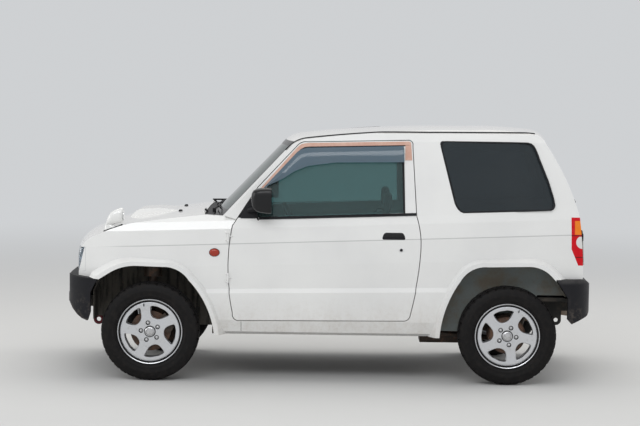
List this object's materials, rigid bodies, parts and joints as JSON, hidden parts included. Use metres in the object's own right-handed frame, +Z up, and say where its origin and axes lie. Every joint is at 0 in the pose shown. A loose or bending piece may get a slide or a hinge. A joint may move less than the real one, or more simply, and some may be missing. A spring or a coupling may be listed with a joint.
{
  "type": "kei car",
  "caption": "Small boxy four-wheel-drive kei car with side doors, side-hinged tailgate, lifting bonnet, steered front wheels and freely turning wheels.",
  "frame": {"origin": "on the ground, under the middle of the bounding box", "axes": "+X towards the tail, -Y the car's left side, +Z up"},
  "size_m": [3.395, 1.6656, 1.6303],
  "materials": {
    "paint": "white paint, gloss, dusty low down",
    "underbody": "black underseal, satin",
    "trim_black": "black trim, matt",
    "bumper_black": "grained black, faded on top",
    "liner": "dirty black",
    "lamp_clear": "clear lens",
    "lamp_red": "red lens with amber and white blocks",
    "glass_green": "green tint",
    "glass_dark": "dark privacy tint",
    "engine": "matt",
    "chassis_black": "black paint with surface rust",
    "exhaust_steel": "heat-stained",
    "dash_grey": "dark grey, grained",
    "seat_cloth": "dark grey cloth",
    "alloy": "silver lacquer",
    "tyre": "matt black",
    "rust_iron": "rusty"
  },
  "bodies": {
    "root": {"body_side_left": "paint", "body_side_right": "paint", "fender_left": "paint", "fender_right": "paint", "roof_panel": "paint", "fender_mirror": "paint", "nose_panel": "paint", "floor_pan": "underbody", "chassis_rails": "underbody", "cowl_panel": "trim_black", "grille": "trim_black", "wipers": "trim_black", "front_bumper": "bumper_black", "rear_bumper": "bumper_black", "wheelhouses": "liner", "headlamps": "lamp_clear", "tail_lamps": "lamp_red", "windscreen": "glass_green", "quarter_glass": "glass_dark", "engine_block": "engine", "front_suspension": "chassis_black", "rear_axle": "chassis_black", "rear_suspension": "chassis_black", "drive_shafts": "chassis_black", "fuel_tank": "chassis_black", "exhaust": "exhaust_steel", "dashboard": "dash_grey", "front_seats": "seat_cloth", "rear_seat": "seat_cloth"},
    "door_left": {"door_left_panel": "paint", "door_left_glass": "glass_green", "door_left_mirror": "trim_black"},
    "door_right": {"door_right_panel": "paint", "door_right_glass": "glass_green", "door_right_mirror": "trim_black"},
    "bonnet": {"bonnet": "paint"},
    "tailgate": {"tailgate_panel": "paint", "tailgate_glass": "glass_dark"},
    "fuel_lid": {"fuel_lid": "paint"},
    "steering_wheel": {"steering_wheel": "dash_grey"},
    "knuckle_left": {"knuckle_left": "chassis_black"},
    "knuckle_right": {"knuckle_right": "chassis_black"},
    "wheel_front_left": {"wheel_front_left_rim": "alloy", "wheel_front_left_tyre": "tyre", "wheel_front_left_disc": "rust_iron"},
    "wheel_front_right": {"wheel_front_right_rim": "alloy", "wheel_front_right_tyre": "tyre", "wheel_front_right_disc": "rust_iron"},
    "wheel_rear_left": {"wheel_rear_left_rim": "alloy", "wheel_rear_left_tyre": "tyre", "wheel_rear_left_drum": "rust_iron"},
    "wheel_rear_right": {"wheel_rear_right_rim": "alloy", "wheel_rear_right_tyre": "tyre", "wheel_rear_right_drum": "rust_iron"}
  },
  "joints": [
    {"name": "steer_left", "type": "hinge", "parent": "root", "child": "knuckle_left", "pos_m": [-1.14, -0.59327, 0.314], "axis": [0, 0.1859, 0.9826], "range_deg": [-32, 32]},
    {"name": "steer_right", "type": "hinge", "parent": "root", "child": "knuckle_right", "pos_m": [-1.14, 0.59327, 0.314], "axis": [0, -0.1859, 0.9826], "range_deg": [-32, 32]},
    {"name": "steering_wheel_turn", "type": "hinge", "parent": "root", "child": "steering_wheel", "pos_m": [-0.238, 0.33, 0.905], "axis": [-0.9, 0, -0.436], "range_deg": [-480, 480]},
    {"name": "door_left_swing", "type": "hinge", "parent": "root", "child": "door_left", "pos_m": [-0.645, -0.7175, 0.8], "axis": [0, 0, -1], "range_deg": [0, 65]},
    {"name": "door_right_swing", "type": "hinge", "parent": "root", "child": "door_right", "pos_m": [-0.645, 0.7175, 0.8], "axis": [0, 0, 1], "range_deg": [0, 65]},
    {"name": "bonnet_lift", "type": "hinge", "parent": "root", "child": "bonnet", "pos_m": [-0.8045, 0, 1.085], "axis": [0, 1, 0], "range_deg": [0, 55]},
    {"name": "tailgate_swing", "type": "hinge", "parent": "root", "child": "tailgate", "pos_m": [1.64, 0.594, 0.9], "axis": [0, 0, 1], "range_deg": [0, 85]},
    {"name": "fuel_lid_swing", "type": "hinge", "parent": "root", "child": "fuel_lid", "pos_m": [0.8465, 0.7175, 0.905], "axis": [0, 0, 1], "range_deg": [0, 100]},
    {"name": "roll_front_left", "type": "hinge", "parent": "knuckle_left", "child": "wheel_front_left", "pos_m": [-1.14, -0.645, 0.314], "axis": [0, 1, 0], "continuous": true},
    {"name": "roll_front_right", "type": "hinge", "parent": "knuckle_right", "child": "wheel_front_right", "pos_m": [-1.14, 0.645, 0.314], "axis": [0, 1, 0], "continuous": true},
    {"name": "roll_rear_left", "type": "hinge", "parent": "root", "child": "wheel_rear_left", "pos_m": [1.14, -0.645, 0.314], "axis": [0, 1, 0], "continuous": true},
    {"name": "roll_rear_right", "type": "hinge", "parent": "root", "child": "wheel_rear_right", "pos_m": [1.14, 0.645, 0.314], "axis": [0, 1, 0], "continuous": true}
  ],
  "couplings": [
    {"joint": "steer_right", "follows": "steer_left", "ratio": 1},
    {"joint": "steering_wheel_turn", "follows": "steer_left", "ratio": -15}
  ]
}
